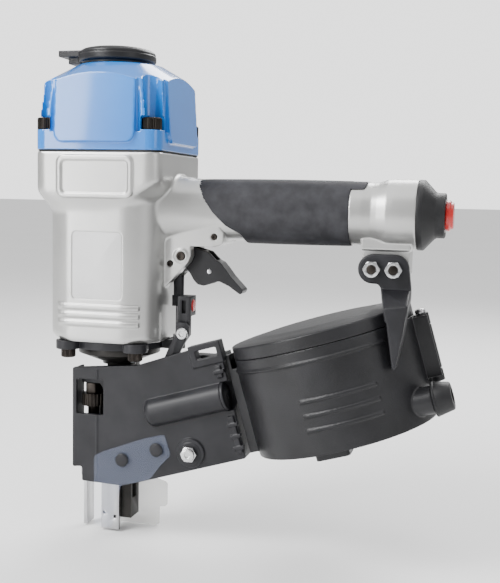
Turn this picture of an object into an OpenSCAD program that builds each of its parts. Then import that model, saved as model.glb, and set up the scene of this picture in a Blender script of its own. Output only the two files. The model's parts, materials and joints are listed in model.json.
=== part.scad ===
// Pneumatic coil nailer: a hand-held, air-driven nail gun with a round coil magazine.
// Origin: mouth of the nail outlet on the drive axis. +Z up the drive axis, +X towards the
// air inlet, +Y towards the nose door. Millimetres.

/* [Head and housing] */
// Half width of the square head at the cap joint
head_half = 45; // [44:0.5:48]
// Corner radius of the square head
head_corner = 9; // [7:0.5:12]
// Half width of the lower housing
body_half = 41; // [40.5:0.5:42]
// Corner radius of the lower housing
body_corner = 22; // [20:1:24]
// Height of the underside of the housing
body_base_z = 132; // [131:0.5:132.5]
// Height of the joint between housing and cap
joint_z = 261; // [259:1:264]
// Height of the cap above the joint
cap_h = 60; // [56:1:64]
// Distance of each cap bolt from the drive axis, in X and in Y
cap_bolt_at = 37.8; // [37:0.1:38.2]
// Offset of the exhaust deflector's axis in front of the drive axis
deflector_back = 3; // [0:0.5:4]

/* [Drive train] */
// Bore radius of the cylinder sleeve
sleeve_bore = 27; // [26:0.5:27.5]
// Wall thickness of the cylinder sleeve
sleeve_wall = 2.5; // [2:0.1:2.6]
// Radius of the drive bore. The outlet's muzzle is 0.4 wider
nail_bore = 3.9; // [3.6:0.1:4.2]
// Height of the driver tip above the outlet before firing
driver_tip_z = 80; // [79:0.5:84]

/* [Handle] */
// Height of the handle axis
handle_z = 223; // [221:0.5:225]
// Distance of the housing's rear end from the drive axis
handle_end_x = 209; // [205:1:214]
// Radius of the round rear end of the handle
tail_r = 23; // [22:0.5:24]
// Half width of the rubber grip
grip_half = 19; // [18.5:0.5:20]

/* [Air inlet] */
// Wall radius of the threaded air inlet
inlet_r = 5.7; // [5.5:0.1:6.2]
// Distance from the inlet fitting's flange to the mouth of its thread
inlet_len = 14; // [12:0.5:15]

/* [Magazine] */
// Upward tilt of the magazine towards the rear
tilt = 16.5; // [16:0.5:17]
// Outer radius of the round magazine
drum_r = 62; // [60:0.5:62]
// Wall thickness of the magazine
drum_wall = 3; // [2.5:0.5:3.5]
// Distance of the magazine axis from the outlet, along the tilted feed direction
drum_x = 182; // [182:0.5:184]
// Height of the magazine's underside, square to the feed direction
drum_base = 25.4; // [25:0.1:26]
// Height of the top of the magazine's fixed half
drum_split = 92; // [91:0.5:93]

/* [Contact arm] */
// Radius of the depth dial
dial_r = 8.6; // [8:0.1:8.8]

/* [Hidden] */
$fn = 64;

// Overshoot of a cut past the face it opens
cut = 0.5;
// Gap between pieces that move past each other
gap = 0.3;
// Radial clearance of a turning or sliding pin
run = 0.05;

blue = [0.16, 0.52, 0.86];
silver = [0.78, 0.78, 0.76];
black = [0.10, 0.10, 0.11];
plastic = [0.16, 0.16, 0.17];
rubber = [0.20, 0.20, 0.21];
steel = [0.62, 0.62, 0.64];
zinc = [0.72, 0.71, 0.68];
dark_steel = [0.22, 0.20, 0.18];
red = [0.80, 0.10, 0.08];
clear = [0.78, 0.86, 0.92, 0.35];
brass = [0.72, 0.58, 0.30];

cap_z = joint_z + 0.8;
shoulder_z = 226;
cap_top = joint_z + cap_h;
reservoir_r = 36;
sleeve_r = sleeve_bore + sleeve_wall;
sleeve_top = 250;
valve_r = 34;
valve_h = 18;
piston_h = 11;
piston_top = sleeve_top - 1;
muzzle_r = nail_bore + 0.4;
muzzle_len = 12;
inlet_thread = 9.6;
plate_t = 6;
plate_z = body_base_z - plate_t;
plate_bolt_x = 24.8;
plate_bolt_y = 32.1;
cap_seat_z = joint_z + 14;

valve_x = 62.6;
web_z = 198.5;
web_half = 16;
fork_in = 7.2;
trigger_half = 6.4;
pivot = [51.2, 191.6];
pivot_r = 3;
lever_pivot = [68.4, 180.9];
lever_pin_r = 1.6;
stem_r = 3.4;

arm_at = [45.5, -3.2];
guide_rod_r = 2;
button_y = -6.4;
dial_at = [-14.5, -12];
stud_r = 2.5;

shield_screw_x = [-4.5, 6.5];
feed_y = -22;
feed_h = 69.7;
feed_bore = 7.5;
pawl_y = -19.5;
door_hinge = [106, 7];
door_pin_r = 2;
drum_in = drum_r - drum_wall;
drum_lid = 100;
drum_floor = drum_base + 2.6;
hinge_x = drum_x + 67;
hinge_pin_r = 2;
post_r = 7;
hanger_x = [182.4, 196.4];
hanger_z = 187.9;
bumper_y = -26;
bumper_h = 39;
bumper_x = drum_x + 64.5;

// ---------- shared shapes ----------

// A flat outline drawn in X and Z, spread in Y from y_low to y_high
module slab(y_low, y_high) {
    translate([0, y_high, 0])
        rotate([90, 0, 0])
            linear_extrude(y_high - y_low)
                children();
}

// Children in the magazine's tilted frame
module tilted() {
    rotate([0, -tilt, 0])
        children();
}

// A round bar along X
module bar_x(x, y, z, r, len) {
    translate([x, y, z])
        rotate([0, 90, 0])
            cylinder(r = r, h = len);
}

// A round bar along Y
module bar_y(x, y, z, r, len) {
    translate([x, y + len, z])
        rotate([90, 0, 0])
            cylinder(r = r, h = len);
}

// A round bar along Z
module bar_z(x, y, z, r, len) {
    translate([x, y, z])
        cylinder(r = r, h = len);
}

// A rounded rectangle about its own centre
module rounded(w, d, r) {
    square([w - 2 * r, d], center = true);
    square([w, d - 2 * r], center = true);
    for (sx = [-1, 1], sy = [-1, 1])
        translate([sx * (w / 2 - r), sy * (d / 2 - r)])
            circle(r);
}

// A hexagon with the given width across flats
module hexagon(flats) {
    circle(r = flats / 2 / cos(30), $fn = 6);
}

// Socket-head bolt under z = 0, shank upwards
module socket_bolt(shank_r, shank_len, head_r, head_h, socket) {
    cylinder(r = shank_r, h = shank_len);
    difference() {
        translate([0, 0, -head_h])
            cylinder(r = head_r, h = head_h);
        translate([0, 0, -head_h - cut])
            linear_extrude(head_h * 0.55 + cut)
                hexagon(socket);
    }
}

// Round-wire coil spring about Z, swept along its own helix
module coil_spring(radius, wire, len, turns) {
    sides = 8;
    steps = 20 * turns;
    ring = [for (i = [0 : steps]) let (
        a = 360 * turns * i / steps,
        z = wire + (len - 2 * wire) * i / steps)
        for (k = [0 : sides - 1]) let (b = 360 * k / sides, r = radius + wire * cos(b))
            [r * cos(a), r * sin(a), z + wire * sin(b)]];
    sides_faces = [for (i = [0 : steps - 1], k = [0 : sides - 1])
        let (n = (k + 1) % sides)
        [i * sides + k, i * sides + n, (i + 1) * sides + n, (i + 1) * sides + k]];
    first = [[for (k = [sides - 1 : -1 : 0]) k]];
    last = [[for (k = [0 : sides - 1]) steps * sides + k]];
    polyhedron(points = ring, faces = concat(sides_faces, first, last), convexity = 10);
}

// Places children at the four signed corners
module corners(x, y) {
    for (sx = [-1, 1], sy = [-1, 1])
        translate([sx * x, sy * y, 0])
            children();
}

// ---------- housing ----------

// Lower housing outline, a little flatter on the trigger side
module body_outline(grow) {
    translate([-1, 0])
        rounded(2 * body_half - 2 + 2 * grow, 2 * body_half + 2 * grow, body_corner + grow);
}

module head_outline() {
    rounded(2 * head_half, 2 * head_half, head_corner);
}

// Cross-section of the handle: x is Y, y is height above the handle axis
module grip_section(half, half_h) {
    rounded(2 * half, 2 * half_h, half - 2);
}

// A section swept along X between two positions
module sweep_x(x0, x1) {
    translate([x0, 0, handle_z])
        rotate([90, 0, 90])
            linear_extrude(x1 - x0)
                children();
}

// Raised outline frame on one face of the head
module face_frame(w, h, z) {
    slab(-head_half - 1, -head_half + 1)
        translate([0, z])
            difference() {
                rounded(w, h, 5);
                rounded(w - 7, h - 7, 3);
            }
}

// Side profile of one trigger fork cheek
module fork_profile() {
    polygon([[34, 169], [39, 169], [56, 187], [57.5, 192], [57.5, web_z + 1], [34, web_z + 1]]);
    translate(pivot)
        circle(r = 7);
}

module housing_solid() {
    translate([0, 0, body_base_z])
        intersection() {
            linear_extrude(shoulder_z - body_base_z)
                body_outline(0);
            cylinder(r1 = 44, r2 = 128, h = 94);
        }
    hull() {
        translate([0, 0, shoulder_z - 6])
            linear_extrude(0.5)
                body_outline(0, $fn = 32);
        translate([0, 0, shoulder_z + 9])
            linear_extrude(0.5)
                head_outline($fn = 32);
    }
    translate([0, 0, shoulder_z + 9])
        linear_extrude(joint_z - shoulder_z - 9)
            head_outline();
    face_frame(54, 28, 244);
    for (k = [0 : 2])
        translate([0, 0, 143.6 + 5.6 * k])
            intersection() {
                linear_extrude(3)
                    body_outline(1);
                translate([-29.5, -60, 0])
                    cube([59, 40, 3]);
            }
    hull() {
        translate([36, -26, 200])
            cube([1, 52, 46]);
        sweep_x(84, 84.5)
            grip_section(16.6, 19.8, $fn = 32);
    }
    sweep_x(60, 172)
        grip_section(17, 20);
    bar_x(166, 0, handle_z, tail_r - 1.8, 16);
    bar_x(182, 0, handle_z, tail_r - 2.6, 10);
    bar_x(190, 0, handle_z, tail_r, handle_end_x - 190);
    translate([174, -14, handle_z - tail_r])
        cube([32, 28, 10]);
    slab(-11, 11) {
        for (x = hanger_x)
            translate([x, hanger_z])
                circle(r = 9);
        translate([hanger_x[0] - 8, hanger_z - 4])
            square([hanger_x[1] - hanger_x[0] + 16, 20]);
    }
    slab(-web_half, web_half) {
        translate([34, web_z])
            square([44, 24]);
        translate([74.6, web_z + 6.8])
            circle(r = 6.8);
    }
    slab(-web_half, -fork_in)
        fork_profile();
    slab(fork_in, web_half)
        fork_profile();
    for (side = [-1, 1])
        bar_y(pivot[0], side > 0 ? web_half : -web_half - 1.2, pivot[1], 4.8, 1.2);
}

module housing() {
    color(silver)
    difference() {
        housing_solid();
        bar_z(0, 0, body_base_z + 16, reservoir_r, joint_z - body_base_z);
        bar_z(0, 0, body_base_z - cut, sleeve_r + run, 20);
        bar_x(20, 0, handle_z, 12.5, handle_end_x - 20 - 4);
        bar_x(handle_end_x - 12, 0, handle_z, 17, 20);
        bar_z(valve_x, 0, web_z - 2, 8, 20);
        bar_y(pivot[0], -30, pivot[1], pivot_r, 60);
        for (x = hanger_x)
            bar_y(x, -30, hanger_z, 3, 60);
        corners(plate_bolt_x, plate_bolt_y)
            bar_z(0, 0, body_base_z - cut, 3, 13 + cut);
        corners(cap_bolt_at, cap_bolt_at)
            bar_z(0, 0, joint_z - 22, 4, 30);
        bar_y(43.2, -web_half - cut, 186.2, 2, 4 + cut);
        bar_y(74.6, -web_half - cut, 205.3, 2, 4 + cut);
        slab(-body_half - 1, -body_half + 0.5)
            translate([0, 184.5])
                rounded(36, 46, 3);
    }
    color(silver)
    difference() {
        bar_z(0, 0, 187, reservoir_r + 1, 5);
        bar_z(0, 0, 187 - cut, sleeve_r + 1.3, 6);
    }
}

module rating_label() {
    color([0.86, 0.86, 0.85])
    slab(-body_half + 0.1, -body_half + 0.5)
        translate([0, 184.5])
            rounded(35.4, 45.4, 2.8);
}

module web_screws() {
    color(dark_steel)
    for (p = [[43.2, 186.2], [74.6, 205.3]])
        difference() {
            bar_y(p[0], -web_half - 0.6, p[1], 1.98, 4.5);
            translate([p[0], -web_half + 1, p[1]])
                rotate([90, 0, 0])
                    linear_extrude(3)
                        hexagon(2);
        }
}

// ---------- cap and exhaust ----------

module cap_panel(h, z) {
    translate([0, -head_half, z])
        rotate([90 - 3.8, 0, 0])
            translate([0, 0, -2])
                linear_extrude(3.2)
                    rounded(57, h, 6);
}

// Cap block with a straight skirt and drafted sides above it
module cap_body() {
    skirt = 16;
    translate([0, 0, cap_z])
        linear_extrude(skirt)
            head_outline();
    hull() {
        translate([0, 0, cap_z + skirt])
            linear_extrude(0.5)
                head_outline($fn = 32);
        translate([0, 0, cap_top - 0.5])
            linear_extrude(0.5)
                rounded(2 * head_half - 8, 2 * head_half - 8, head_corner, $fn = 32);
    }
}

module cylinder_cap() {
    color(blue)
    difference() {
        union() {
            intersection() {
                cap_body();
                union() {
                    translate([0, 0, cap_z])
                        cylinder(r = 70, h = cap_top - 23 - cap_z);
                    translate([0, 0, cap_top - 23])
                        cylinder(r1 = 68, r2 = 27.5, h = 23);
                    corners(cap_bolt_at, cap_bolt_at)
                        bar_z(0, 0, cap_z, 9, cap_top - 9 - cap_z);
                }
            }
            for (a = [0 : 90 : 270])
                rotate([0, 0, a])
                    cap_panel(42, 288);
        }
        bar_z(0, 0, cap_z - cut, valve_r + 0.06, 15 + cut);
        bar_z(0, 0, cap_z + 12, 24, 22);
        for (a = [45 : 90 : 315])
            rotate([0, 0, a])
                bar_z(14, 0, cap_z + 30, 5, 40);
        bar_z(-deflector_back, 0, cap_top - 14, 3, 20);
        corners(cap_bolt_at, cap_bolt_at) {
            bar_z(0, 0, cap_z - cut, 4.3, 40);
            bar_z(0, 0, cap_seat_z, 6.8, 60);
        }
        for (sx = [-1, 1], sy = [-1, 1])
            translate([sx * 39.5 - 7.5, sy * 39.5 - 7.5, cap_seat_z])
                cube([15, 15, 9]);
    }
}

module cap_gasket() {
    color(black)
    translate([0, 0, joint_z])
        linear_extrude(cap_z - joint_z)
            difference() {
                rounded(2 * head_half - 1, 2 * head_half - 1, head_corner);
                circle(reservoir_r);
                for (sx = [-1, 1], sy = [-1, 1])
                    translate([sx * cap_bolt_at, sy * cap_bolt_at])
                        circle(4.3);
            }
}

module cap_bolts() {
    color(dark_steel)
    corners(cap_bolt_at, cap_bolt_at)
        translate([0, 0, cap_seat_z])
            mirror([0, 0, 1])
                socket_bolt(4, cap_seat_z - joint_z + 20, 6.5, 8, 6);
}

// Turning exhaust cover: a shallow hollow disc with an outlet lip at one side
module exhaust_deflector() {
    base = cap_top + gap;
    color(black)
    translate([-deflector_back, 0, base])
        difference() {
            union() {
                difference() {
                    union() {
                        bar_z(0, 0, 0, 24, 3);
                        bar_z(0, 0, 2, 27, 6);
                        translate([0, 0, 8])
                            cylinder(r1 = 27, r2 = 21, h = 4);
                        translate([-40, -11, 6])
                            cube([24, 22, 4.5]);
                        translate([-34, -7, 1.5])
                            cube([16, 14, 6]);
                    }
                    bar_z(0, 0, -cut, 21, 8);
                    translate([-31, -5, 2.8])
                        cube([20, 10, 4]);
                }
                bar_z(0, 0, 0, 6, 8);
            }
            bar_z(0, 0, -cut, 3 + run, 20);
            bar_z(0, 0, 9.5, 5.6, 6);
        }
}

module deflector_bolt() {
    color(dark_steel)
    translate([-deflector_back, 0, cap_top + gap + 9.6])
        mirror([0, 0, 1])
            socket_bolt(3, 20, 5, 2.2, 4);
}

// ---------- handle ----------

// Side outline of the rubber grip
module grip_outline() {
    polygon([[60.5, 250], [62, 241], [67, 231], [74, 221.5], [83, 213], [93, 207.5], [98, 195],
        [165.6, 195], [167.2, 222], [169, 232], [176.4, 241], [177, 250]]);
}

module rubber_grip() {
    color(rubber)
    difference() {
        intersection() {
            sweep_x(60, 180)
                grip_section(grip_half, 21.8);
            slab(-30, 30)
                grip_outline();
        }
        sweep_x(59, 172)
            grip_section(17, 20);
        hull() {
            translate([36, -26, 200])
                cube([1, 52, 46]);
            sweep_x(84, 84.5)
                grip_section(16.6, 19.8, $fn = 32);
        }
        bar_x(166, 0, handle_z, tail_r - 1.8, 20);
    }
}

module end_cap() {
    x = handle_end_x;
    color(black)
    difference() {
        union() {
            bar_x(x, 0, handle_z, tail_r, 4);
            translate([x + 4, 0, handle_z])
                rotate([0, 90, 0])
                    cylinder(r1 = tail_r, r2 = 15, h = 7.5);
            bar_x(x + 11, 0, handle_z, 14.7, 6.5);
            bar_x(x - 8, 0, handle_z, 17, 8 + cut);
        }
        bar_x(x - 9, 0, handle_z, 11.03, 30);
    }
}

module inlet_fitting() {
    x = handle_end_x;
    color(steel)
    difference() {
        union() {
            bar_x(x - 8, 0, handle_z, 11, 25.5);
            bar_x(x - 12, 0, handle_z, 16.5, 4);
        }
        bar_x(x - 13, 0, handle_z, inlet_r - 0.9, 40);
        bar_x(x - 4 + inlet_len - inlet_thread, 0, handle_z, inlet_r, 40);
        bar_x(x - 4 + inlet_len, 0, handle_z, 8.2, 20);
    }
}

module dust_plug() {
    x = handle_end_x + 17.8;
    color(red)
    difference() {
        union() {
            bar_x(x, 0, handle_z, 10, 3);
            bar_x(x + 3, 0, handle_z, 8.8, 1.8);
            bar_x(x - 6, 0, handle_z, 8.12, 6 + cut);
        }
        bar_x(x - 7, 0, handle_z, 5.8, 10);
    }
}

// ---------- drive train ----------

module cylinder_sleeve() {
    color(steel)
    difference() {
        bar_z(0, 0, body_base_z, sleeve_r, sleeve_top - body_base_z);
        bar_z(0, 0, body_base_z - cut, sleeve_bore, 130);
        for (a = [30 : 60 : 330])
            rotate([0, 0, a])
                bar_x(20, 0, 165, 1.5, 20);
    }
}

module sleeve_seals() {
    color(black)
    for (z = [188.3, 190.7])
        translate([0, 0, z])
            rotate_extrude()
                translate([sleeve_r + 0.65, 0])
                    circle(r = 0.65);
}

module piston_bumper() {
    color(brass)
    difference() {
        bar_z(0, 0, body_base_z, sleeve_bore - 0.5, 24);
        bar_z(0, 0, body_base_z - cut, 12.2, 3);
        bar_z(0, 0, body_base_z, 8, 30);
    }
}

module head_valve() {
    color([0.85, 0.82, 0.74])
    difference() {
        bar_z(0, 0, sleeve_top + 0.1, valve_r, valve_h);
        bar_z(0, 0, sleeve_top - cut, 22, 4);
        bar_z(0, 0, sleeve_top, 10, 30);
        bar_z(0, 0, sleeve_top + 9, 21, 20);
    }
}

module head_valve_spring() {
    color(steel)
    translate([0, 0, sleeve_top + 9.2])
        coil_spring(17, 1.1, 36.5, 4);
}

module piston() {
    color(steel)
    difference() {
        bar_z(0, 0, piston_top - piston_h, sleeve_bore - 0.3, piston_h);
        translate([0, 0, piston_top - piston_h / 2 - 1.6])
            difference() {
                cylinder(r = sleeve_bore + 1, h = 3.2);
                translate([0, 0, -cut])
                    cylinder(r = sleeve_bore - 3, h = 5);
            }
        bar_z(0, 0, piston_top - piston_h - cut, nail_bore - run + 0.01, 7);
        bar_z(0, 0, piston_top - 3, 16, 5);
    }
}

module piston_ring() {
    color(black)
    translate([0, 0, piston_top - piston_h / 2 - 1.6])
        difference() {
            cylinder(r = sleeve_bore - run, h = 3.2);
            translate([0, 0, -cut])
                cylinder(r = sleeve_bore - 3, h = 5);
        }
}

module driver_blade() {
    color(steel)
    bar_z(0, 0, driver_tip_z, nail_bore - run, piston_top - piston_h + 6.5 - driver_tip_z);
}

module lower_plate() {
    color(black)
    difference() {
        translate([0, 0, plate_z])
            linear_extrude(plate_t) {
                circle(r = 36);
                for (sx = [-1, 1], sy = [-1, 1])
                    translate([sx * plate_bolt_x, sy * plate_bolt_y])
                        circle(r = 8.4);
                square([60, 56], center = true);
                translate(arm_at)
                    circle(r = 5);
                translate([28, arm_at[1] - 5])
                    square([arm_at[0] - 28, 10]);
            }
        bar_z(0, 0, plate_z - cut, 12, 10);
        corners(plate_bolt_x, plate_bolt_y)
            bar_z(0, 0, plate_z - cut, 3.2, 10);
        bar_z(arm_at[0], arm_at[1], plate_z - cut, guide_rod_r, 10);
    }
}

module plate_bolts() {
    color(dark_steel)
    corners(plate_bolt_x, plate_bolt_y)
        translate([0, 0, plate_z])
            socket_bolt(3, plate_t + 12, 5, 6, 5);
}

module driver_guide() {
    color(dark_steel)
    difference() {
        union() {
            translate([-7, -6, 0])
                cube([19, 15, 113]);
            bar_z(0, 0, 112.5, 12, 3);
            translate([0, 0, 114])
                cylinder(r1 = 12, r2 = 29, h = 7);
            bar_z(0, 0, 121, 29, plate_z - 121);
            bar_z(0, 0, plate_z - cut, 11.95, 8.5);
            bar_y(5, 8, 80, 2, 5.4);
        }
        bar_z(0, 0, -cut, nail_bore, 150);
        bar_z(0, 0, -cut, muzzle_r, muzzle_len + cut);
        translate([0, -3.6, muzzle_len + 2])
            cube([20, 7.2, 64]);
        bar_y(5, 12.2, 80, 1.2, 3);
        for (x = shield_screw_x)
            bar_y(x, 5, 22, 1.5, 8);
    }
}

module guide_rod() {
    color(steel) {
        bar_z(arm_at[0], arm_at[1], plate_z, guide_rod_r, 40);
        difference() {
            translate([arm_at[0], arm_at[1], plate_z + plate_t])
                linear_extrude(4)
                    hexagon(7);
            bar_z(arm_at[0], arm_at[1], plate_z, guide_rod_r - 0.2, 12);
        }
    }
}

// ---------- trigger and air valve ----------

// Side outline of the trigger with its curved finger blade
module trigger_profile() {
    polygon([[47.6, 187.5], [48.6, 197], [56, 197.5], [67.5, 194.5], [70.5, 191.5],
        [73.5, 188.8], [76.5, 187.4], [80, 183.4], [84.5, 177.6], [93, 169], [91.2, 165.6],
        [82.6, 171.4], [76, 174.3], [72.5, 173.9], [69, 172.2], [64.5, 170.9], [60, 171.8],
        [57, 175], [54.5, 179.4]]);
}

module trigger() {
    half = trigger_half;
    color(plastic)
    difference() {
        union() {
            slab(-half, half)
                trigger_profile();
            bar_y(pivot[0], -half, pivot[1], 6.2, 2 * half);
        }
        bar_y(pivot[0], -20, pivot[1], pivot_r + run, 40);
        slab(-half + 2.6, half - 2.6)
            polygon([[40, 165], [73, 165], [73.4, 186.5], [71, 202], [40, 202]]);
        bar_y(lever_pivot[0], -20, lever_pivot[1], lever_pin_r, 40);
    }
}

module trigger_pin() {
    color(steel)
    difference() {
        bar_y(pivot[0], -web_half - 1.2, pivot[1], pivot_r, 2 * web_half + 2.4);
        bar_y(pivot[0], -web_half - 2, pivot[1], 1.6, 1.6);
    }
}

// Rocking lever in the trigger, between the contact arm's tip and the valve stem
module trigger_lever() {
    color(steel)
    difference() {
        slab(-3.4, 3.4)
            polygon([[43, 179.5], [60, 179.5], [66, 178.2], [71.5, 178.2], [71.5, 183.6],
                [65.2, 184.4], [65.2, 194.9], [60, 194.9], [60, 183], [43, 182.3]]);
        bar_y(lever_pivot[0], -20, lever_pivot[1], lever_pin_r + run, 40);
    }
}

module lever_pin() {
    color(steel)
    bar_y(lever_pivot[0], -trigger_half, lever_pivot[1], lever_pin_r, 2 * trigger_half);
}

module valve_body() {
    color(zinc)
    difference() {
        bar_z(valve_x, 0, web_z, 7.9, 16);
        bar_z(valve_x, 0, web_z - cut, stem_r + run, 8);
        bar_z(valve_x, 0, web_z + 5, 5.6, 9);
    }
}

module valve_stem() {
    color(steel) {
        bar_z(valve_x, 0, web_z - 0.4, stem_r, 6);
        bar_z(valve_x, 0, web_z + 5.3, 5, 1.5);
    }
}

module valve_spring() {
    color(steel)
    translate([valve_x, 0, web_z + 6.9])
        coil_spring(3.6, 0.45, 7, 4);
}

// ---------- contact arm and depth dial ----------

module contact_bracket() {
    x = arm_at[0];
    y = arm_at[1];
    color(black)
    difference() {
        union() {
            bar_z(x, y, 156, 3.6, 21);
            translate([x - 3.6, y - 3.6, 156])
                cube([12, 7.2, 7.5]);
            translate([48.8, -14.5, 150])
                cube([8.7, 13.3, 13.7]);
            slab(-14.5, -10.8)
                polygon([[48.8, 163.7], [56, 163.7], [57.5, 162], [57.5, 137], [53.5, 131],
                    [48.8, 134]]);
        }
        bar_z(x, y, 150, guide_rod_r + run, 26);
        translate([51.6, -15, 152])
            cube([3, 4, 9]);
        bar_x(54, button_y, 157, 4.56, 5);
        bar_x(50.4, button_y, 157, 2.06, 5);
        bar_y(53.4, -16, 138.4, 2.5, 8);
    }
}

module contact_link() {
    color(black)
    difference() {
        union() {
            slab(-17.5, -14.5)
                polygon([[48.8, 146], [56, 146], [58, 143], [58, 138], [52, 126.5],
                    [40.5, 96], [-5, 96], [-7.5, 99.6], [-21, 99.6], [-21, 104], [33.5, 104], [43.5, 128],
                    [48.8, 138]]);
            translate([-19.5, -17.5, 99.8])
                cube([10, 17.5, 4.2]);
            translate([-19.5, -2.9, 66])
                cube([10, 2.9, 36]);
            translate([-19.5, -16.5, 66])
                cube([10, 16, 5]);
        }
        bar_z(dial_at[0], dial_at[1], 60, stud_r + 0.1, 60);
        bar_y(53.4, -20, 138.4, 2.52, 8);
    }
}

module link_bolt() {
    color(steel)
    translate([53.4, -17.5, 138.4])
        rotate([-90, 0, 0])
            socket_bolt(2.5, 6.5, 4.2, 2.2, 4);
}

module arm_spring() {
    color(steel)
    translate([18, -17, 104])
        coil_spring(2.2, 0.4, 13.6, 5);
}

module red_button() {
    color(red) {
        bar_x(55.6, button_y, 157, 4.5, 1.6);
        translate([57.2, button_y, 157])
            rotate([0, 90, 0])
                cylinder(r1 = 4.5, r2 = 3.5, h = 1);
        bar_x(53, button_y, 157, 2, 2.7);
    }
}

module dial_wheel() {
    teeth = 20;
    color(dark_steel)
    difference() {
        union() {
            bar_z(dial_at[0], dial_at[1], 83, dial_r, 8.6);
            bar_z(dial_at[0], dial_at[1], 71.4, 4.3, 12);
        }
        bar_z(dial_at[0], dial_at[1], 70, stud_r + 0.08, 30);
        for (k = [0 : teeth - 1])
            translate([dial_at[0], dial_at[1], 82])
                rotate([0, 0, 360 / teeth * k])
                    translate([dial_r + 0.2, 0, 0])
                        cylinder(r = 0.8, h = 12);
    }
}

module dial_nut() {
    color(steel)
    difference() {
        translate([dial_at[0], dial_at[1], 91.6])
            linear_extrude(7.6)
                hexagon(11);
        bar_z(dial_at[0], dial_at[1], 90, stud_r + 0.08, 12);
    }
}

// Foot that touches the work: a plate and a strip on either side of the nose, under one yoke
module contact_foot() {
    tip = -8;
    color(steel)
    difference() {
        union() {
            translate([-25, -6, tip])
                cube([2.6, 12, 40 - tip]);
            translate([-9, -10.8, tip])
                cube([13.6, 3, 46]);
            translate([-25, -6, 32])
                cube([14, 12, 8]);
            translate([-22.4, -16, 32])
                cube([13.4, 22, 8]);
            translate([-12, -16, 32])
                cube([16.6, 8.2, 8]);
            bar_z(dial_at[0], dial_at[1], 36, stud_r, 67);
        }
        for (p = [[-6.6, 4], [1.6, 1.5]])
            bar_y(p[0], -12, p[1], 1.2, 6);
    }
}

// ---------- feeder, nose door and shields ----------

// Side outline of the feeder's outer wall
module feeder_wall() {
    polygon([[-25.6, 111], [-25.6, 39.5], [-18.4, 40.5], [-18.4, 30], [12.7, 29], [102.1, 57.1],
        [83.5, 127.4], [61.3, 128.6], [23, 115.4]]);
}

module feeder_housing() {
    color(plastic)
    difference() {
        union() {
            slab(-24, -20)
                feeder_wall();
            translate([-25.6, -23, 41.5])
                cube([1.9, 15, 69]);
            slab(-20.5, -4.2)
                polygon([[12.4, 30.5], [69.7, 48.4], [101.5, 57.1], [84, 124], [62, 124],
                    [56, 108], [45, 94], [12.4, 92]]);
            tilted() {
                bar_x(52, feed_y, feed_h, 9.8, 58);
                translate([100.5, -20, 27])
                    cube([11.5, 31.5, 4.5]);
                translate([100.5, -20, 91])
                    cube([11.5, 31.5, 6]);
                translate([94, -25, 93])
                    cube([23, 9, 15]);
            }
            bar_y(63, -26, 57.5, 10, 3);
        }
        tilted() {
            bar_x(56, feed_y, feed_h, feed_bore, 60);
            bar_x(110, feed_y, feed_h, 10.1, 10);
            translate([56.5, feed_y, feed_h - 3.6])
                cube([32, 30, 7.2]);
            bar_z(door_hinge[0], door_hinge[1], 10, door_pin_r, 90);
            translate([98.5, -26, 98])
                cube([15, 11, 6]);
        }
        slab(-30, -19)
            translate([-12.4, 90.7])
                rounded(20.5, 25, 1.5);
        bar_y(63, -30, 57.5, 3, 30);
        for (p = [[13.1, 48.3], [38.4, 57.7]])
            bar_y(p[0], -26, p[1], 2, 10);
        bar_z(18, -17, 103, 3.2, 30);
    }
}

module feed_cap() {
    color(dark_steel)
    tilted()
        difference() {
            union() {
                bar_x(110, feed_y, feed_h, 9.8, 2);
                bar_x(106, feed_y, feed_h, feed_bore, 4.5);
            }
            bar_x(100, feed_y, feed_h, 1.5, 20);
        }
}

module feed_piston() {
    color(steel)
    tilted()
        difference() {
            bar_x(58, feed_y, feed_h, feed_bore - 0.07, 18);
            translate([60.6, feed_y - 1, feed_h - 3.2])
                cube([10.8, 10, 6.4]);
            bar_z(66, pawl_y, 50, 1.5, 40);
        }
}

module feed_spring() {
    color(steel)
    tilted()
        translate([76.2, feed_y, feed_h])
            rotate([0, 90, 0])
                coil_spring(5.2, 0.6, 15, 5);
}

module feed_pawl() {
    color(steel)
    tilted() {
        translate([0, 0, feed_h - 2.8])
            linear_extrude(5.6)
                polygon([[64, -21.6], [68, -21.6], [68.5, -13], [65, -1.5], [61.5, -1.5],
                    [63, -13]]);
        bar_z(66, pawl_y, feed_h - 5.8, 1.45, 11.6);
    }
}

module nose_door() {
    color(plastic)
    difference() {
        tilted() {
            slab(4.5, 9)
                polygon([[22, 29], [39.8, 89.4], [103.5, 89.4], [103.5, 33], [60, 29]]);
            bar_z(door_hinge[0], door_hinge[1], 31.9, 4, 58.7);
        }
        tilted()
            bar_z(door_hinge[0], door_hinge[1], 10, door_pin_r + run, 90);
        bar_y(26, 0, 80, 2, 20);
    }
}

module door_pin() {
    color(steel)
    tilted()
        bar_z(door_hinge[0], door_hinge[1], 25, door_pin_r, 73);
}

module door_latch() {
    color(dark_steel)
    difference() {
        slab(9.3, 12.6) {
            translate([26, 80])
                circle(r = 6);
            translate([-1, 76])
                square([27, 8]);
            translate([26, 76.5])
                square([16, 7]);
        }
        slab(9, 13)
            polygon([[2.4, 70], [7.6, 70], [7.6, 80], [2.4, 80]]);
        bar_y(5, 9, 80, 2.6, 4);
        bar_y(26, 8, 80, 2 + run, 6);
    }
}

module latch_pin() {
    color(steel) {
        bar_y(26, 5, 80, 2, 7.8);
        bar_y(26, 12.8, 80, 4, 1.6);
    }
}

module feeder_nut() {
    color(zinc)
    difference() {
        union() {
            bar_y(63, -31, 57.5, 3, 24);
            translate([63, -26, 57.5])
                rotate([90, 0, 0])
                    linear_extrude(4)
                        hexagon(10);
            bar_y(63, -32, 57.5, 4.5, 2.5);
        }
        bar_y(63, -33, 57.5, 2, 2);
    }
}

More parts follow.
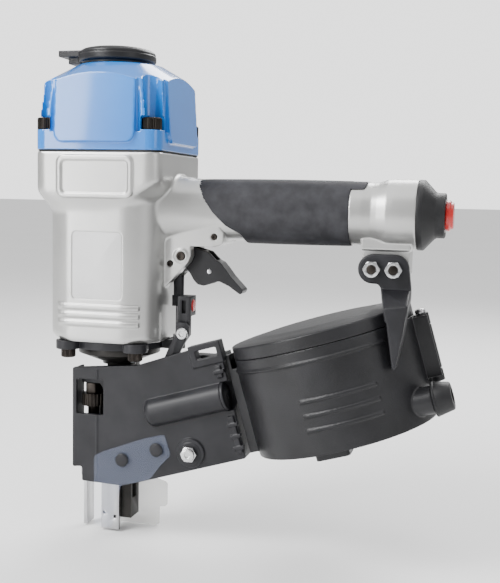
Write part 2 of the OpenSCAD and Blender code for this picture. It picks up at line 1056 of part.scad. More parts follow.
module shield_near() {
    color(clear)
    difference() {
        slab(-26.2, -24.6)
            polygon([[-8, -1], [6, -1], [7.5, 18], [12.4, 30], [33.3, 36], [40.6, 46],
                [48.6, 54.6], [44, 68.9], [27.1, 64], [-1.3, 52.9], [-8, 49.3]]);
        for (p = [[13.1, 48.3], [38.4, 57.7]])
            bar_y(p[0], -28, p[1], 2, 6);
    }
    color(dark_steel)
    for (p = [[13.1, 48.3], [38.4, 57.7]]) {
        bar_y(p[0], -26.2, p[1], 2, 8);
        bar_y(p[0], -27.6, p[1], 4.8, 1.4);
    }
}

module shield_far() {
    color(clear)
    difference() {
        slab(9.1, 10.6)
            polygon([[-9, -9], [28, -9], [28, 6], [34, 6], [34, 24], [12, 30], [-9, 30]]);
        for (x = shield_screw_x)
            bar_y(x, 8, 22, 1.5, 6);
    }
    color(dark_steel)
    for (x = shield_screw_x) {
        bar_y(x, 5.5, 22, 1.5, 5.1);
        bar_y(x, 10.6, 22, 3, 1.2);
    }
}

// ---------- magazine ----------

// Half space on one side of the magazine's middle plane, out to the drum's edge
module half_box(side, x0, x1, z0, z1) {
    translate([x0, side > 0 ? 0.4 : -90.4, z0])
        cube([x1 - x0, 90, z1 - z0]);
}

// Hinge leaves that reach from the drum to the hinge pin
module hinge_leaf(y0, y1, x0, z0, z1) {
    translate([x0, y0, z0])
        cube([hinge_x - x0, y1 - y0, z1 - z0]);
    bar_z(hinge_x, 0, z0, 5, z1 - z0);
}

module magazine_body() {
    color(plastic)
    tilted()
        difference() {
            union() {
                intersection() {
                    bar_z(drum_x, 0, drum_base, drum_r, drum_split - drum_base);
                    half_box(-1, 100, 260, 0, 200);
                }
                bar_z(drum_x, 0, drum_base, drum_r, drum_floor - drum_base);
                intersection() {
                    bar_z(drum_x, 0, 83.5, drum_r + 1, 1.4);
                    half_box(-1, 100, 260, 0, 200);
                }
                for (k = [0 : 2])
                    intersection() {
                        bar_z(drum_x, 0, 41 + 9.2 * k, drum_r + 1, 2.4);
                        translate([drum_x - 12, -80, 0])
                            cube([48, 60, 100]);
                    }
                translate([116.8, -20, 28])
                    cube([15, 15.5, 58]);
                for (z = [46, 84])
                    hinge_leaf(-5, -0.6, drum_x + 50, z, z + 7.7);
                translate([drum_x + 20, -6, 46])
                    cube([44, 5.4, 45.7]);
                bar_x(drum_x + 40, bumper_y, bumper_h, 9, 24.5);
                translate([drum_x - 13, -54, 20.5])
                    cube([22, 16, 6]);
            }
            difference() {
                bar_z(drum_x, 0, drum_floor, drum_in, 90);
                bar_z(drum_x, 0, drum_base, 12, 5.2);
            }
            bar_z(drum_x, 0, drum_base + 1, post_r + 0.03, 20);
            translate([100, -4.4, drum_floor + 2])
                cube([30, 5, drum_split]);
            bar_z(hinge_x, 0, 54, 5 + gap, 30);
            bar_z(hinge_x, 0, 20, hinge_pin_r + 0.02, 90);
            bar_x(bumper_x - 8, bumper_y, bumper_h, 2.02, 12);
        }
}

module magazine_cover() {
    color(plastic)
    tilted()
        difference() {
            union() {
                intersection() {
                    bar_z(drum_x, 0, drum_floor + gap, drum_r, 90);
                    half_box(1, 100, 260, 0, drum_lid);
                }
                bar_z(drum_x, 0, drum_split + gap, drum_r, drum_lid - drum_split - gap);
                translate([drum_x, 0, drum_lid])
                    cylinder(r1 = drum_r - 1, r2 = 46, h = 2);
                translate([drum_x, 0, drum_lid + 2])
                    cylinder(r1 = 46, r2 = 20, h = 1.4);
                bar_z(hinge_x, 0, 54.1, 5, 29.6);
                translate([drum_x + 50, 0.6, 54.1])
                    cube([18.5, 4.4, 29.6]);
            }
            bar_z(drum_x, 0, 0, drum_in, drum_lid - 2.6);
            bar_z(hinge_x, 0, 20, hinge_pin_r + run, 90);
            translate([100, -1, 20])
                cube([30, 5.5, drum_split - 20]);
        }
}

module hinge_pin() {
    color(steel)
    tilted()
        bar_z(hinge_x, 0, 45, hinge_pin_r, 47);
}

module tray_post() {
    color(plastic)
    tilted()
        bar_z(drum_x, 0, drum_base + 1, post_r, 61);
}

module nail_tray() {
    color(plastic)
    tilted()
        difference() {
            union() {
                bar_z(drum_x, 0, 35, 52, 2.4);
                bar_z(drum_x, 0, 35, 10, 14);
            }
            bar_z(drum_x, 0, 30, post_r + 0.08, 30);
            for (a = [30 : 60 : 330])
                translate([drum_x, 0, 30])
                    rotate([0, 0, a])
                        bar_z(33, 0, 0, 9, 20);
        }
}

module bumper_cap() {
    color(rubber)
    tilted()
        difference() {
            translate([bumper_x, bumper_y, bumper_h])
                rotate([0, 90, 0])
                    cylinder(r1 = 11.4, r2 = 8.8, h = 12);
            bar_x(bumper_x + 7, bumper_y, bumper_h, 5.5, 8);
            bar_x(bumper_x - cut, bumper_y, bumper_h, 2, 10);
        }
    color(steel)
    tilted() {
        bar_x(bumper_x - 7, bumper_y, bumper_h, 2, 14);
        bar_x(bumper_x + 7, bumper_y, bumper_h, 3.6, 1.6);
    }
}

// ---------- hanger between handle and magazine ----------

module hanger_arm() {
    color(black)
    difference() {
        union() {
            slab(-18, -11.3) {
                for (x = hanger_x)
                    translate([x, hanger_z])
                        circle(r = 9.6);
                translate([hanger_x[0], hanger_z - 4])
                    square([hanger_x[1] - hanger_x[0], 13.6]);
                polygon([[181, 181], [206, 186], [207.5, 174], [207.5, 168], [189, 168],
                    [188, 174]]);
            }
            hull() {
                slab(-18, -11.3)
                    polygon([[189, 168], [207.5, 168], [207.5, 175], [188.4, 175]]);
                slab(-49, -46)
                    polygon([[195, 158], [208.5, 162], [209, 168], [194, 166]]);
            }
            slab(-49, -30)
                polygon([[195, 163], [208.5, 166], [206.5, 150], [202.5, 128], [200.5, 128]]);
        }
        for (x = hanger_x)
            bar_y(x, -30, hanger_z, 3.03, 30);
        tilted() {
            bar_z(drum_x, 0, 20, drum_r + 0.4, 81);
            for (z = [40.9, 50.1, 59.3, 83.4])
                bar_z(drum_x, 0, z, drum_r + 1.05, 2.6);
        }
    }
}

module hanger_bolts() {
    color(dark_steel)
    for (x = hanger_x) {
        bar_y(x, -25, hanger_z, 3, 36);
        bar_y(x, 11, hanger_z, 5, 4);
    }
}

module hanger_nuts() {
    color(zinc)
    for (x = hanger_x)
        difference() {
            union() {
                translate([x, -18, hanger_z])
                    rotate([90, 0, 0])
                        linear_extrude(4.4)
                            hexagon(10);
                bar_y(x, -23.6, hanger_z, 4.5, 2);
            }
            bar_y(x, -30, hanger_z, 3, 20);
        }
}

// ---------- assembly ----------

housing();
rating_label();
cylinder_cap();
cap_gasket();
cap_bolts();
exhaust_deflector();
deflector_bolt();
rubber_grip();
end_cap();
inlet_fitting();
dust_plug();
cylinder_sleeve();
sleeve_seals();
piston_bumper();
head_valve();
head_valve_spring();
piston();
piston_ring();
driver_blade();
lower_plate();
plate_bolts();
driver_guide();
guide_rod();
trigger();
trigger_pin();
trigger_lever();
lever_pin();
valve_body();
valve_stem();
valve_spring();
web_screws();
contact_bracket();
contact_link();
link_bolt();
arm_spring();
red_button();
dial_wheel();
dial_nut();
contact_foot();
feeder_housing();
feed_piston();
feed_spring();
feed_cap();
feed_pawl();
nose_door();
door_pin();
door_latch();
latch_pin();
feeder_nut();
magazine_body();
magazine_cover();
hinge_pin();
nail_tray();
tray_post();
hanger_arm();
hanger_bolts();
hanger_nuts();
shield_near();
shield_far();
bumper_cap();
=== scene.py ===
"""Looks of a pneumatic coil nailer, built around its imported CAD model.

Pieces are drawn in millimetres in the CAD frame (+Z up the drive axis, +X towards the air
inlet), then scaled to metres. Magazine pieces are drawn square and tilted at the end.
"""

import json
import math

import bmesh
import bpy
from mathutils import Matrix, Vector


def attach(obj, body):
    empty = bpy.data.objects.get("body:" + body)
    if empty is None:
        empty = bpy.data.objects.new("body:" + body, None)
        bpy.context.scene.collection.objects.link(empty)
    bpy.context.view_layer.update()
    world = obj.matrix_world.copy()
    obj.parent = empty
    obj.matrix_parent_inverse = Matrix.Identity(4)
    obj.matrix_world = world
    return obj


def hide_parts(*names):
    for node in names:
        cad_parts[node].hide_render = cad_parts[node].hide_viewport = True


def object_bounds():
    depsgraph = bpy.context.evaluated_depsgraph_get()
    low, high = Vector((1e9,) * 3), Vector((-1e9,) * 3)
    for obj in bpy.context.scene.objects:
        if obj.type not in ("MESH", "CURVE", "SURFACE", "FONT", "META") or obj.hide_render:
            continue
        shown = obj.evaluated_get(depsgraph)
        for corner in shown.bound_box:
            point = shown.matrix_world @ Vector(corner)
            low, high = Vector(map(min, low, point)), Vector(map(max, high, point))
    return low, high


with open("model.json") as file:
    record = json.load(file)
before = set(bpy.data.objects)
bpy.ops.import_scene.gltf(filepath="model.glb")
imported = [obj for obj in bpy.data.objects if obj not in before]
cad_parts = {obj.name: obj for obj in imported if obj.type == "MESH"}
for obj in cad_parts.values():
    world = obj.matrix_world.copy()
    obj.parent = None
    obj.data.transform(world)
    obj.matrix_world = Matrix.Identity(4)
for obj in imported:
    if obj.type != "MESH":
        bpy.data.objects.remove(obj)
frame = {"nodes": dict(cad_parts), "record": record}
CAD_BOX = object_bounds()
RECORD = frame["record"]
NODES = frame["nodes"]
BODY_OF = {n: body for body, names in RECORD["behaviour"]["bodies"].items() for n in names}
SLOT_OF = {part["node"]: part["material_slot"] for part in RECORD["subparts"]}

MM = 0.001
TILT = Matrix.Rotation(math.radians(-16.5), 4, "Y")  # the magazine rises towards the rear

# Sizes taken over from the CAD model, in millimetres
HEAD_HALF, HEAD_CORNER = 45.0, 9.0
BODY_HALF, BODY_CORNER = 41.0, 22.0
BODY_BASE, JOINT_Z, CAP_Z, CAP_TOP = 132.0, 261.0, 261.8, 321.0
CAP_BOLT, PLATE_BOLT_X, PLATE_BOLT_Y = 37.8, 24.8, 32.1  # from the drive axis
HANDLE_Z, TAIL_X, HANDLE_END = 223.0, 166.0, 209.0  # the tail is the round rear end
PIN_X, PIN_Z = 51.2, 191.6  # trigger pin
WEB_SCREWS = ((43.2, 186.2), (74.6, 205.3))  # X and Z
STUDS = ((13.1, 48.3), (38.4, 57.7))  # near shield's studs, X and Z
DRUM_X, DRUM_R, DRUM_BASE, DRUM_SPLIT, DRUM_LID = 182.0, 62.0, 25.4, 92.0, 100.0
DRUM_WALL, DRUM_FLOOR, HINGE_X = 3.0, 28.0, 249.0
MARKS, MARK_H = [41 + 9.2 * k for k in range(3)], 1.8  # three lines round the drum
PEG_Y, PEG_Z = -26.0, 39.0  # rubber bumper's peg on the drum
DEFLECTOR_X = -3.0
HANGER_X, HANGER_Z = (182.4, 196.4), 187.9
FEED_Y, FEED_H = -22.0, 69.7

CORNERS = [(sx, sy) for sx in (-1, 1) for sy in (-1, 1)]


# ---------- mesh kit ----------


def mesh_piece(name, points, faces):
    """A closed mesh object with its faces turned outwards."""
    mesh = bpy.data.meshes.new(name)
    work = bmesh.new()
    corners = [work.verts.new(p) for p in points]
    for face in faces:
        work.faces.new([corners[i] for i in face])
    bmesh.ops.recalc_face_normals(work, faces=work.faces)
    work.to_mesh(mesh)
    work.free()
    piece = bpy.data.objects.new(name, mesh)
    bpy.context.scene.collection.objects.link(piece)
    return piece


def loft(name, rings):
    """A skin over rings with the same number of points, closed by a face at each end."""
    count = len(rings[0])
    points = [p for ring in rings for p in ring]
    faces = []
    for level in range(len(rings) - 1):
        low, high = level * count, (level + 1) * count
        for i in range(count):
            j = (i + 1) % count
            faces.append((low + i, low + j, high + j, high + i))
    faces.append(tuple(range(count)))
    faces.append(tuple(range((len(rings) - 1) * count, len(rings) * count)))
    return mesh_piece(name, points, faces)


def block(x0, x1, y0, y1, z0, z1):
    ring = [(x0, y0), (x1, y0), (x1, y1), (x0, y1)]
    return loft("block", [[(x, y, z) for x, y in ring] for z in (z0, z1)])


def hull(name, points):
    """The tightest skin round some points."""
    piece = mesh_piece(name, points, [])
    work = bmesh.new()
    work.from_mesh(piece.data)
    found = bmesh.ops.convex_hull(work, input=work.verts)
    bmesh.ops.delete(work, geom=found["geom_interior"], context="VERTS")
    work.to_mesh(piece.data)
    work.free()
    return piece


def plate_xz(outline, y0, y1):
    """An outline in X and Z, spread in Y."""
    return loft("plate", [[(x, y, z) for x, z in outline] for y in (y0, y1)])


def plate_xy(outline, z0, z1):
    """An outline in X and Y, spread in Z."""
    return loft("plate", [[(x, y, z) for x, y in outline] for z in (z0, z1)])


def on_axis(axis, at, along, across, up):
    """A point by its distance along an axis and its two offsets across it."""
    x, y, z = at
    if axis == "x":
        return (x + along, y + across, z + up)
    if axis == "y":
        return (x + across, y + along, z + up)
    return (x + across, y + up, z + along)


def turned(axis, at, profile, sides=96):
    """A lathe shape. profile lists (distance along the axis, radius)."""
    rings = []
    for along, radius in profile:
        ring = []
        for i in range(sides):
            turn = 2 * math.pi * i / sides
            ring.append(on_axis(axis, at, along, radius * math.cos(turn), radius * math.sin(turn)))
        rings.append(ring)
    return loft("turned", rings)


def rod(axis, at, radius, length, sides=96):
    return turned(axis, at, [(0, radius), (length, radius)], sides)


def rounded(width, depth, radius, centre=(0, 0), arc=10, straight=8):
    """Outline points of a rounded rectangle, always in the same order and number."""
    half_w, half_d = width / 2 - radius, depth / 2 - radius
    corners = ((1, 1, 0), (-1, 1, 90), (-1, -1, 180), (1, -1, 270))

    def on_corner(corner, degrees):
        sx, sy, begin = corner
        turn = math.radians(begin + degrees)
        x = centre[0] + sx * half_w + radius * math.cos(turn)
        return (x, centre[1] + sy * half_d + radius * math.sin(turn))

    points = []
    for number, corner in enumerate(corners):
        points.extend(on_corner(corner, 90 * k / arc) for k in range(arc + 1))
        last = Vector(points[-1])
        following = Vector(on_corner(corners[(number + 1) % 4], 0))
        points.extend(tuple(last.lerp(following, k / straight)) for k in range(1, straight))
    return points


def filleted(points, radius, arc=5):
    """Outline with its corners rounded as far as the sides allow."""
    out = []
    count = len(points)
    for i in range(count):
        here = Vector(points[i])
        back, ahead = Vector(points[i - 1]) - here, Vector(points[(i + 1) % count]) - here
        opening = back.angle(ahead)
        if opening > math.radians(172):
            out.append(tuple(here))
            continue
        reach = min(radius / math.tan(opening / 2), 0.45 * back.length, 0.45 * ahead.length)
        first, last = here + back.normalized() * reach, here + ahead.normalized() * reach
        for k in range(arc + 1):
            t = k / arc
            out.append(tuple(first * (1 - t) ** 2 + here * 2 * t * (1 - t) + last * t**2))
    return out


def hexagon(flats, centre=(0, 0)):
    """Corners of a hexagon by its width across flats."""
    radius = flats / 2 / math.cos(math.radians(30))
    turns = [math.radians(60 * k) for k in range(6)]
    return [(centre[0] + radius * math.cos(t), centre[1] + radius * math.sin(t)) for t in turns]


def settle(piece):
    """Applies a piece's modifiers."""
    graph = bpy.context.evaluated_depsgraph_get()
    mesh = bpy.data.meshes.new_from_object(piece.evaluated_get(graph))
    piece.modifiers.clear()
    piece.data = mesh
    return piece


def combine(base, others, operation):
    """Joins, cuts or intersects a piece with others, which are used up."""
    for other in others:
        step = base.modifiers.new("combine", "BOOLEAN")
        step.operation = operation
        step.object = other
        step.solver = "MANIFOLD"
    settle(base)
    for other in others:
        bpy.data.objects.remove(other)
    return base


def join(base, *others):
    return combine(base, others, "UNION")


def cut(base, *others):
    return combine(base, others, "DIFFERENCE")


def common(base, other):
    return combine(base, [other], "INTERSECT")


def soften(piece, voxel, passes):
    """Casts the piece: one even skin with small fillets on every edge and inner corner."""
    grid = piece.modifiers.new("skin", "REMESH")
    grid.mode = "VOXEL"
    grid.voxel_size = voxel
    relax = piece.modifiers.new("relax", "SMOOTH")
    relax.factor = 0.5
    relax.iterations = passes
    settle(piece)
    piece.data.shade_smooth()
    return piece


def shade(mesh, degrees):
    """Smooth shading that stays crisp at edges sharper than an angle."""
    mesh.shade_smooth()
    mesh.set_sharp_from_angle(angle=math.radians(degrees))


def bevelled(piece, width):
    """Machined look: flat faces with narrow bevelled edges."""
    work = bmesh.new()
    work.from_mesh(piece.data)
    bmesh.ops.remove_doubles(work, verts=work.verts, dist=width * 0.02)
    bmesh.ops.dissolve_limit(work, angle_limit=math.radians(1), verts=work.verts, edges=work.edges)
    work.to_mesh(piece.data)
    work.free()
    edge = piece.modifiers.new("edge", "BEVEL")
    edge.width = width
    edge.segments = 2
    edge.limit_method = "ANGLE"
    edge.angle_limit = math.radians(32)
    settle(piece)
    shade(piece.data, 38)
    return piece


def tilted(pieces):
    """Pieces drawn square, turned to the magazine's slope."""
    for piece in pieces:
        piece.data.transform(TILT)
    return pieces


def place(piece, node, look=None, slope=False, name=None):
    """Puts a drawn piece where its CAD node is, and lets it stand for that node.

    A node's second piece, in another finish, has a name of its own.
    """
    scale = Matrix.Scale(MM, 4)
    piece.data.transform(scale @ TILT if slope else scale)
    return stand_for(piece, node, look, name)


def stand_for(piece, node, look=None, name=None):
    """Gives a piece its name, material and body, and the CAD node that it replaces."""
    slot = SLOT_OF[node]
    piece.name = name or node + "_look"
    piece.data.materials.clear()
    piece.data.materials.append(LOOKS[look or slot])
    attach(piece, BODY_OF[node])
    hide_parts(node)
    return piece


def dress(node, width):
    """A bevelled copy of a machined CAD node."""
    piece = bpy.data.objects.new(node, NODES[node].data.copy())
    bpy.context.scene.collection.objects.link(piece)
    bevelled(piece, width * MM)
    return stand_for(piece, node)


def keep(node):
    """A CAD node that is shown as it is, in a better material."""
    mesh = NODES[node].data
    mesh.materials.clear()
    mesh.materials.append(LOOKS[SLOT_OF[node]])
    shade(mesh, 38)


def smooth_step(t):
    t = min(max(t, 0.0), 1.0)
    return t * t * (3 - 2 * t)


# ---------- materials ----------


def wired(tree, kind, feeds, values):
    """Adds a node, sets its plain inputs and links the outputs that feed it."""
    node = tree.nodes.new(kind)
    for socket, value in values.items():
        node.inputs[socket].default_value = value
    for socket, output in feeds.items():
        tree.links.new(output, node.inputs[socket])
    return node


def arithmetic(tree, operation, feeds, factor):
    """A Math node with a fixed second input."""
    node = wired(tree, "ShaderNodeMath", feeds, {1: factor})
    node.operation = operation
    return node


def finish(name, dark, light, rough, metal=0.0, coat=0.0, patch=60, grain=2500, bump=0.15, deep=0.05,
           spread=0.08, shine=0.5):
    """A procedural finish: two-tone patches, uneven roughness and a fine grain in relief.

    patch and grain are noise scales per metre, bump is the relief's strength and deep its depth
    in mm. shine is the strength of reflections on a non-metal.
    """
    material = bpy.data.materials.new(name)
    material.use_nodes = True
    tree = material.node_tree
    shader = tree.nodes["Principled BSDF"]
    spot = tree.nodes.new("ShaderNodeTexCoord").outputs["Object"]

    patches = wired(tree, "ShaderNodeTexNoise", {"Vector": spot}, {"Scale": patch, "Detail": 6})
    tone = wired(tree, "ShaderNodeValToRGB", {"Fac": patches.outputs["Fac"]}, {})
    for stop, position, colour in zip(tone.color_ramp.elements, (0.35, 0.68), (dark, light)):
        stop.position = position
        stop.color = (*colour, 1)
    tree.links.new(tone.outputs["Color"], shader.inputs["Base Color"])

    fine = wired(tree, "ShaderNodeTexNoise", {"Vector": spot}, {"Scale": grain, "Detail": 3})
    halved = arithmetic(tree, "MULTIPLY", {0: fine.outputs["Fac"]}, 0.5)
    feeds = {0: patches.outputs["Fac"], 2: halved.outputs["Value"]}
    mixed = arithmetic(tree, "MULTIPLY_ADD", feeds, 0.5)
    limits = {"To Min": max(rough - spread, 0.02), "To Max": min(rough + spread, 1.0)}
    gloss = wired(tree, "ShaderNodeMapRange", {"Value": mixed.outputs["Value"]}, limits)
    tree.links.new(gloss.outputs["Result"], shader.inputs["Roughness"])

    depth = {"Strength": bump, "Distance": deep * MM}
    relief = wired(tree, "ShaderNodeBump", {"Height": fine.outputs["Fac"]}, depth)
    tree.links.new(relief.outputs["Normal"], shader.inputs["Normal"])

    shader.inputs["Metallic"].default_value = metal
    shader.inputs["Specular IOR Level"].default_value = shine
    shader.inputs["Coat Weight"].default_value = coat
    shader.inputs["Coat Roughness"].default_value = 0.06
    return material


def brushed(name, dark, light, rough, along, metal=1.0):
    """Turned or drawn metal: noise stretched along one axis."""
    material = finish(name, dark, light, rough, metal=metal, patch=90, grain=1400, bump=0.12, deep=0.02)
    nodes, links = material.node_tree.nodes, material.node_tree.links
    where = next(n for n in nodes if n.bl_idname == "ShaderNodeTexCoord")
    stretch = nodes.new("ShaderNodeMapping")
    stretch.inputs["Scale"].default_value = tuple(0.06 if axis == along else 1.0 for axis in "xyz")
    links.new(where.outputs["Object"], stretch.inputs["Vector"])
    for noise in [n for n in nodes if n.bl_idname == "ShaderNodeTexNoise"]:
        links.new(stretch.outputs["Vector"], noise.inputs["Vector"])
    return material


def clear_sheet(name, tint, alpha):
    """Plastic that lets a share of the view through."""
    material = finish(name, tint, [min(c * 1.06, 1) for c in tint], 0.18, patch=30, bump=0.05, shine=0.35)
    shader = material.node_tree.nodes["Principled BSDF"]
    shader.inputs["Alpha"].default_value = alpha
    return material


LOOKS = {
    "silver_paint": finish("silver_paint", (0.45, 0.45, 0.44), (0.49, 0.49, 0.48), 0.32, metal=0.75,
                           patch=30, grain=4200, bump=0.3, deep=0.03, spread=0.03),
    "blue_paint": finish("blue_paint", (0.002, 0.155, 0.55), (0.004, 0.185, 0.62), 0.24,
                         coat=0.8, patch=16, grain=900, bump=0.04, deep=0.05, spread=0.03),
    "black_metal": finish("black_metal", (0.011, 0.011, 0.013), (0.019, 0.019, 0.022), 0.42,
                          patch=50, grain=2600, bump=0.2, deep=0.04, shine=0.28),
    "black_plastic": finish("black_plastic", (0.007, 0.007, 0.008), (0.013, 0.013, 0.015), 0.38,
                            patch=40, grain=1500, bump=0.8, deep=0.12, shine=0.36),
    "trigger_plastic": finish("trigger_plastic", (0.006, 0.006, 0.007), (0.012, 0.012, 0.014), 0.36,
                              patch=60, grain=2600, bump=0.2, deep=0.04, shine=0.3),
    "grip_rubber": finish("grip_rubber", (0.018, 0.018, 0.021), (0.036, 0.036, 0.041), 0.7,
                          patch=110, grain=3200, bump=0.4, deep=0.06, spread=0.12, shine=0.3),
    "black_rubber": finish("black_rubber", (0.005, 0.005, 0.006), (0.010, 0.010, 0.011), 0.5,
                           patch=70, grain=2400, bump=0.25, deep=0.05, shine=0.35),
    "seal_rubber": finish("seal_rubber", (0.006, 0.006, 0.006), (0.012, 0.012, 0.012), 0.6),
    "urethane": finish("urethane", (0.5, 0.33, 0.1), (0.62, 0.45, 0.18), 0.4),
    "red_plastic": finish("red_plastic", (0.42, 0.004, 0.003), (0.58, 0.008, 0.006), 0.28, coat=0.4,
                          patch=50, grain=1500, bump=0.08),
    "clear_plastic": clear_sheet("clear_plastic", (0.40, 0.47, 0.68), 0.07),
    "valve_plastic": finish("valve_plastic", (0.7, 0.66, 0.55), (0.8, 0.77, 0.68), 0.45),
    "label": finish("label", (0.60, 0.60, 0.60), (0.68, 0.68, 0.68), 0.3, patch=30, bump=0.05),
    "black_oxide": brushed("black_oxide", (0.020, 0.018, 0.016), (0.044, 0.038, 0.034), 0.36, "z"),
    "tool_steel": brushed("tool_steel", (0.42, 0.42, 0.43), (0.56, 0.56, 0.57), 0.3, "z"),
    "zinc": brushed("zinc", (0.44, 0.45, 0.46), (0.62, 0.62, 0.62), 0.24, "y"),
    "cast_steel": finish("cast_steel", (0.018, 0.017, 0.016), (0.034, 0.032, 0.030), 0.42, metal=0.8,
                         patch=80, grain=1500, bump=0.4, deep=0.08),
    "valve_brass": brushed("valve_brass", (0.55, 0.42, 0.2), (0.68, 0.55, 0.3), 0.3, "z"),
    "milky_plastic": clear_sheet("milky_plastic", (0.62, 0.62, 0.60), 0.42),
}


# ---------- housing ----------


def body_ring(z, grow=0.0):
    outline = rounded(2 * BODY_HALF - 2 + 2 * grow, 2 * BODY_HALF + 2 * grow, BODY_CORNER + grow, (-1, 0))
    return [(x, y, z) for x, y in outline]


def head_ring(z):
    return [(x, y, z) for x, y in rounded(2 * HEAD_HALF, 2 * HEAD_HALF, HEAD_CORNER)]


def housing_core():
    """Lower body, shoulder and square head. The shoulder climbs towards the handle."""
    rings = [body_ring(BODY_BASE)]
    steps = 14
    low, high = body_ring(0), head_ring(0)
    for k in range(steps + 1):
        blend = smooth_step(k / steps)
        ring = []
        for (x0, y0, _), (x1, y1, _) in zip(low, high):
            lift = 8 * smooth_step((x0 + 4) / 40)
            foot, top = 219 + lift, 236 + 0.8 * lift
            z = foot + (top - foot) * k / steps
            ring.append((x0 + (x1 - x0) * blend, y0 + (y1 - y0) * blend, z))
        rings.append(ring)
    rings.append(head_ring(JOINT_Z))
    core = loft("housing", rings)
    return common(core, turned("z", (0, 0, BODY_BASE), [(0, 44.5), (94, 132), (140, 140)]))


def handle_root():
    """The flare from the back of the head into the handle, rounded towards the web."""
    rings = []
    steps = 16
    for k in range(steps + 1):
        t = k / steps
        x = 34 + 54 * t
        flare = (1 - t) ** 2.2
        half_y = 17 + 12 * flare
        top, bottom = 243 + 6 * flare, 203 - 4 * flare
        corner = min(half_y, (top - bottom) / 2) - 1.5
        section = rounded(2 * half_y, top - bottom, corner, (0, (top + bottom) / 2))
        rings.append([(x, y, z) for y, z in section])
    return loft("root", rings)


def web_outline():
    return filleted(
        [(30, 198.5), (74, 198.5), (81, 200.5), (81.4, 208), (78, 212), (60, 224), (30, 222)], 3)


def fork_outline():
    return filleted([(30, 169), (39, 169), (56, 187), (58.2, 192), (57.5, 199.5), (30, 199.5)], 1.5)


def housing_extras():
    """Handle, round rear end, hanger lug, web and the two fork plates."""
    tail = [(0, 20.8), (8, 20.9), (14, 20.5), (18, 21.2), (24, 22.8), (28, 23), (43, 23)]
    core = rounded(34, 40, 15, (0, HANDLE_Z))
    lug = filleted([(174.4, 204), (174.4, 183.9), (176, 181), (182, 179.2), (196.8, 179.2),
                    (203, 181), (205.2, 184), (205.2, 204)], 2)
    return [
        loft("core", [[(x, y, z) for y, z in core] for x in (60, 172)]),
        turned("x", (TAIL_X, 0, HANDLE_Z), tail),
        block(174, 206, -14, 14, 200.1, 210),
        plate_xz(lug, -11, 11),
        plate_xz(web_outline(), -16, 16),
        plate_xz(fork_outline(), -16, -7.2),
        plate_xz(fork_outline(), 7.2, 16),
    ]


def housing_relief(piece):
    """Pin bosses, the label's frame and the three ribs above the lower plate."""
    for side in (-1, 1):
        join(piece, rod("y", (PIN_X, 16 * side - 0.6, PIN_Z), 4.8, 1.2))
    join(piece, plate_xz(rounded(54, 28, 5, (0, 244)), -HEAD_HALF - 1, -HEAD_HALF + 1))
    cut(piece, plate_xz(rounded(48, 22, 3.4, (0, 244)), -HEAD_HALF - 2, -HEAD_HALF - 0.1))
    for k in range(3):
        z = 143.8 + 5.6 * k
        rib = loft("rib", [body_ring(z, 1.0), body_ring(z + 2.8, 1.0)])
        common(rib, block(-29.5, 29.5, -60, -20, z - 1, z + 4))
        join(piece, rib)


def housing_hollows():
    """Reservoir, handle bore, valve seat, bolt holes and the slots in the front."""
    hollow = [
        rod("z", (0, 0, BODY_BASE + 16), 36, 130),
        rod("z", (0, 0, BODY_BASE - 1), 29.6, 20),
        rod("x", (20, 0, HANDLE_Z), 12.5, 185),
        rod("x", (HANDLE_END - 12, 0, HANDLE_Z), 17.05, 20),
        rod("z", (62.6, 0, 196), 8, 20),
        rod("y", (PIN_X, -30, PIN_Z), 3.05, 60),
    ]
    hollow += [rod("y", (x, -17, z), 2.1, 5) for x, z in WEB_SCREWS]
    hollow.append(plate_xz(rounded(36, 46, 3, (0, 184.5)), -BODY_HALF - 2, -BODY_HALF + 0.5))
    hollow += [rod("y", (x, -30, HANGER_Z), 3.05, 60) for x in HANGER_X]
    for sx in (-1, 1):
        hollow.append(block(sx * 34.5 - 6.5, sx * 34.5 + 6.5, -46, -44.6, 256.2, 256.8))
        for sy in (-1, 1):
            hollow.append(rod("z", (sx * PLATE_BOLT_X, sy * PLATE_BOLT_Y, BODY_BASE - 1), 3, 14))
            hollow.append(rod("z", (sx * CAP_BOLT, sy * CAP_BOLT, JOINT_Z - 22), 4, 30))
    return hollow


def housing():
    piece = housing_core()
    join(piece, handle_root())
    soften(piece, 1.1, 10)
    join(piece, *housing_extras())
    housing_relief(piece)
    cut(piece, *housing_hollows())
    soften(piece, 0.55, 3)
    return place(piece, "housing")


